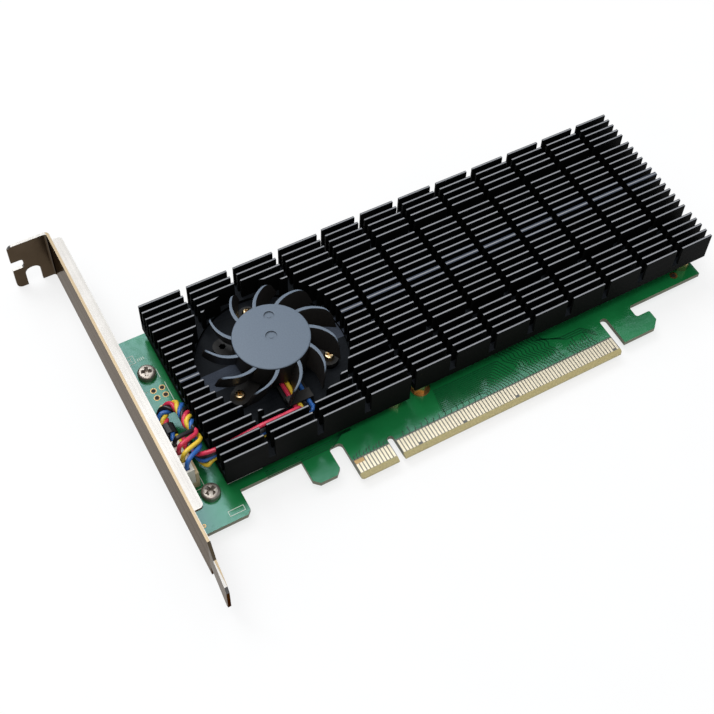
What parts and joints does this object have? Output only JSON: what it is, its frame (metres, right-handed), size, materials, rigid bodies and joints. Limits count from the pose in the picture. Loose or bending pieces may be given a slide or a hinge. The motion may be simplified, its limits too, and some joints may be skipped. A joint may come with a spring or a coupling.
{
  "type": "nvme adapter card",
  "caption": "Low-profile PCI Express x16 adapter card for M.2 drives, with two finned heatsinks, a sunk fan and a half-height bracket.",
  "frame": {"origin": "centre of the key notch on the mating edge of the edge connector, on the board's component face", "axes": "+X along the board away from the bracket, +Y from the mating edge to the board's top edge, +Z out of the component face"},
  "size_m": [0.1804, 0.1201, 0.0206],
  "materials": {
    "board": "glossy solder mask",
    "gold": "polished",
    "plated_steel": "satin",
    "nickel": "polished",
    "black_anodised": "satin black anodised",
    "brass": "polished",
    "black_plastic": "matte",
    "fan_board": "glossy",
    "lamination": "plain",
    "shaft_steel": "ground",
    "magnet": "plain",
    "grey_plastic": "satin",
    "wire_black": "satin",
    "wire_red": "satin",
    "wire_yellow": "satin",
    "wire_blue": "satin",
    "sleeve": "matte",
    "white_plastic": "satin",
    "beige_plastic": "satin",
    "chip": "matte",
    "thermal_pad": "matte",
    "capacitor": "matte"
  },
  "bodies": {
    "card": {"pcb": "board", "edge_contacts_component_side": "gold", "edge_contacts_solder_side": "gold", "io_bracket": "plated_steel", "bracket_screws": "nickel", "controller_heatsink": "black_anodised", "drive_heatsink": "black_anodised", "heatsink_standoffs": "brass", "heatsink_screws": "nickel", "fan_frame": "black_plastic", "fan_bearing": "brass", "fan_circuit_board": "fan_board", "fan_stator": "lamination", "fan_screws": "brass", "cable_clip": "black_plastic", "fan_wire_black": "wire_black", "fan_wire_red": "wire_red", "fan_wire_yellow": "wire_yellow", "fan_wire_blue": "wire_blue", "cable_sleeve": "sleeve", "fan_plug": "white_plastic", "fan_header": "beige_plastic", "fan_header_pins": "gold", "switch_chip": "chip", "chip_thermal_pad": "thermal_pad", "m2_socket_1": "black_plastic", "m2_socket_2": "black_plastic", "m2_standoffs": "brass", "drive_thermal_pads": "thermal_pad", "coupling_capacitors": "capacitor", "supply_capacitors": "capacitor"},
    "fan_rotor": {"fan_impeller": "grey_plastic", "fan_magnet_ring": "magnet", "fan_shaft": "shaft_steel"}
  },
  "joints": [
    {"name": "fan_spin", "type": "hinge", "parent": "card", "child": "fan_rotor", "pos_m": [-0.01787, 0.04105, 0.0116], "axis": [0, 0, 1], "continuous": true}
  ]
}
